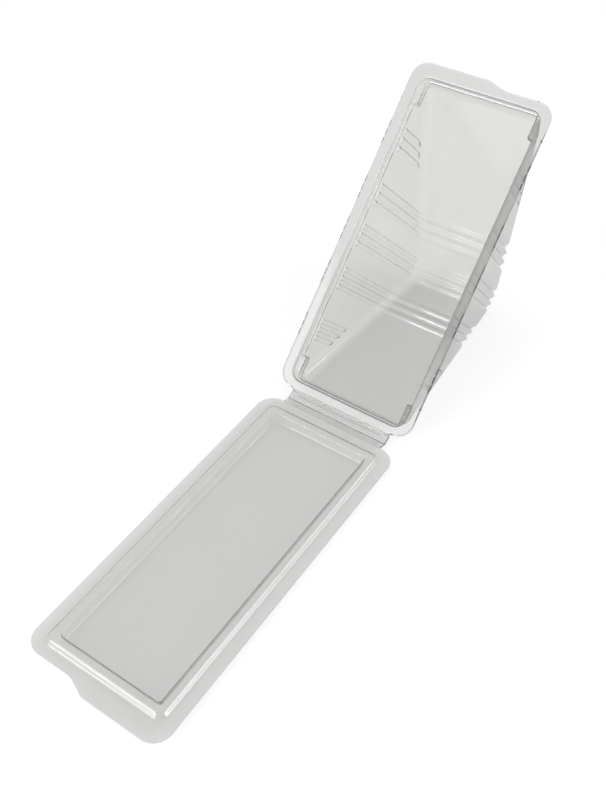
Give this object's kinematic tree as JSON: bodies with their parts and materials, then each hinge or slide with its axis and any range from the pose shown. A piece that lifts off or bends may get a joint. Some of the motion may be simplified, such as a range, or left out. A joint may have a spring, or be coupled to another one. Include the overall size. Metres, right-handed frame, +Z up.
{
  "type": "hinged sandwich wedge clamshell pack",
  "caption": "Clear plastic clamshell for a cut sandwich: deep ribbed wedge tray, living hinge and flat plug-in lid, standing open.",
  "frame": {"origin": "on the table, under the middle of the open pack's outline", "axes": "+Y from the lid to the tray, along the pack; +X along the hinge; +Z up from the table"},
  "size_m": [0.08, 0.3276, 0.133],
  "materials": {
    "clear_pet": "clear thermoformed sheet, glossy"
  },
  "bodies": {
    "tray": {"wedge_tray": "clear_pet"},
    "web": {"hinge_strip": "clear_pet"},
    "lid": {"lid": "clear_pet"}
  },
  "joints": [
    {"name": "tray_crease", "type": "hinge", "parent": "tray", "child": "web", "pos_m": [0, 0.03058, 0.00365], "axis": [-1, 0, 0], "range_deg": [-9, 27.8]},
    {"name": "lid_crease", "type": "hinge", "parent": "web", "child": "lid", "pos_m": [0, 0.02598, 0.00155], "axis": [-1, 0, 0], "range_deg": [-34.9, 108.3]}
  ],
  "couplings": [
    {"joint": "tray_crease", "follows": "lid_crease", "ratio": 0.25541}
  ]
}
